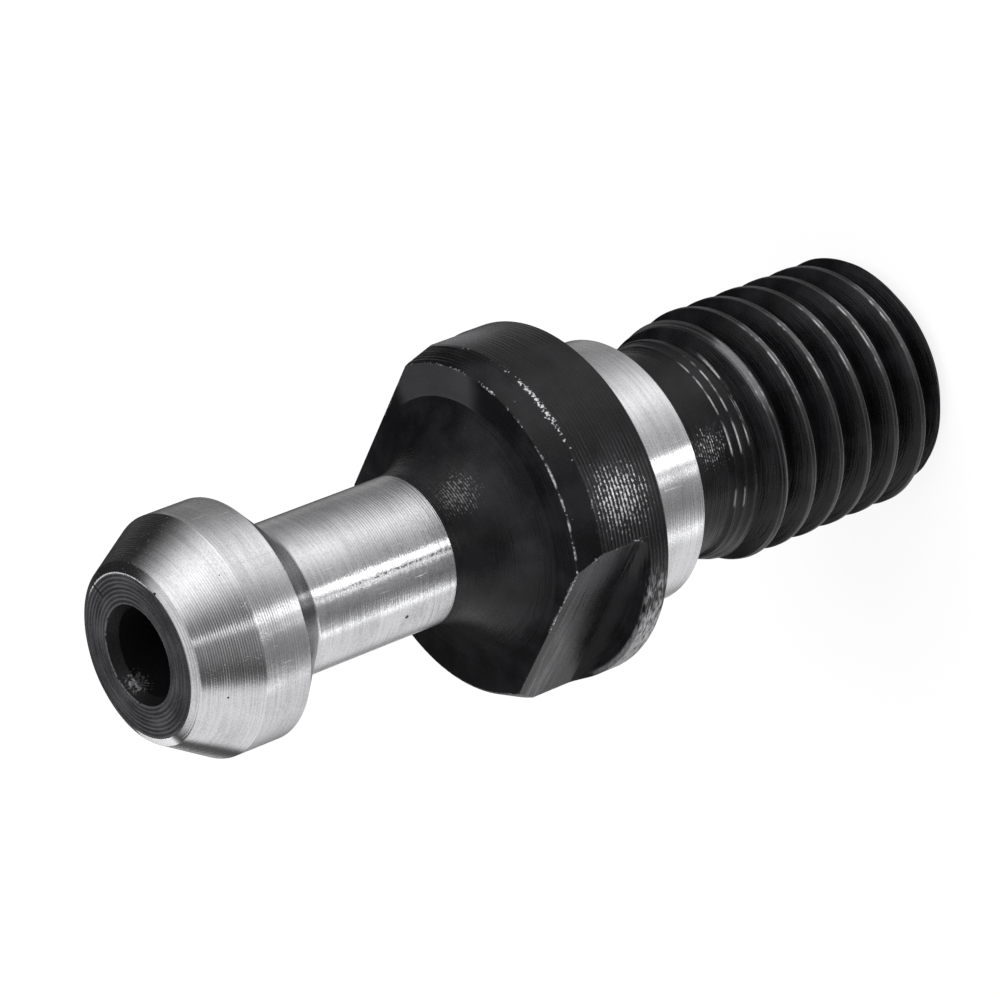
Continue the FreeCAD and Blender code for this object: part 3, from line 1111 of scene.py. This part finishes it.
def add_lamp(context, name, azimuth, elevation, distance, width, height, watts):
    """Soft lamp for matt surfaces. Metal sees the studio of the world instead."""
    lamp = bpy.data.lights.new(name, "AREA")
    lamp.shape, lamp.size, lamp.size_y, lamp.energy = "RECTANGLE", width, height, watts
    holder = placed(context, name, lamp)
    back = towards(azimuth, elevation)
    holder.location = LAMP_AIM + back * distance
    holder.rotation_mode = "QUATERNION"
    holder.rotation_quaternion = back.to_track_quat("Z", "Y")
    holder.visible_camera = False
    holder.visible_glossy = False


class STUD_OT_set_stage(bpy.types.Operator):
    """Lay the floor, set the lights and place the camera"""

    bl_idname = "stud.set_stage"
    bl_label = "Set the stage"

    def execute(self, context):
        look = context.scene.stud_stage
        mesh = bpy.data.meshes.new("studio_floor")
        sides = ((-1, -1), (1, -1), (1, 1), (-1, 1))
        corners = [(x * FLOOR_HALF, y * FLOOR_HALF, 0) for x, y in sides]
        mesh.from_pydata(corners, [], [(0, 1, 2, 3)])
        mesh.materials.append(floor_finish(look))
        floor = placed(context, "studio_floor", mesh)
        floor.visible_glossy = False
        studio_world(context, look)
        for lamp in LAMPS:
            add_lamp(context, *lamp)
        place_camera(context, look)
        context.scene.view_settings.view_transform = "Standard"
        return {"FINISHED"}


def place_camera(context, look):
    camera = bpy.data.cameras.new("camera")
    camera.sensor_width = SENSOR
    camera.lens = look.lens
    camera.clip_start = NEAREST
    back = towards(math.degrees(look.azimuth), math.degrees(look.elevation))
    across = Vector((math.cos(look.azimuth), math.sin(look.azimuth), 0))
    across = Matrix.Rotation(look.roll, 3, back) @ across
    upright = back.cross(across)
    place = Vector(look.aim) + back * look.distance
    holder = placed(context, "camera", camera)
    turn = Matrix((across, upright, back)).transposed().to_4x4()
    holder.matrix_world = Matrix.Translation(place) @ turn
    context.scene.camera = holder


class STUD_PT_panel(bpy.types.Panel):
    """Sizes, finishes and the steps that make the stud"""

    bl_label = "Pull stud"
    bl_space_type = "VIEW_3D"
    bl_region_type = "UI"
    bl_category = "Pull stud"

    def draw(self, context):
        for operator in OPERATORS:
            self.layout.operator(operator.bl_idname)
        for name in GROUPS:
            values = getattr(context.scene, name)
            box = self.layout.box()
            for key in values.__annotations__:
                box.prop(values, key)


GROUPS = {
    "stud_turned": TurnedSizes,
    "stud_flats": FlatSizes,
    "stud_thread": ThreadSizes,
    "stud_finish": FinishLook,
    "stud_stage": StageLook,
}
OPERATORS = (STUD_OT_make_stud, STUD_OT_set_stage)
CLASSES = (*GROUPS.values(), *OPERATORS, STUD_PT_panel)


def register():
    for made in CLASSES:
        bpy.utils.register_class(made)
    for name, made in GROUPS.items():
        setattr(bpy.types.Scene, name, PointerProperty(type=made))


def unregister():
    for name in GROUPS:
        delattr(bpy.types.Scene, name)
    for made in reversed(CLASSES):
        bpy.utils.unregister_class(made)


def main():
    register()
    bpy.ops.stud.make_stud()
    bpy.ops.stud.set_stage()


if __name__ == "__main__":
    main()
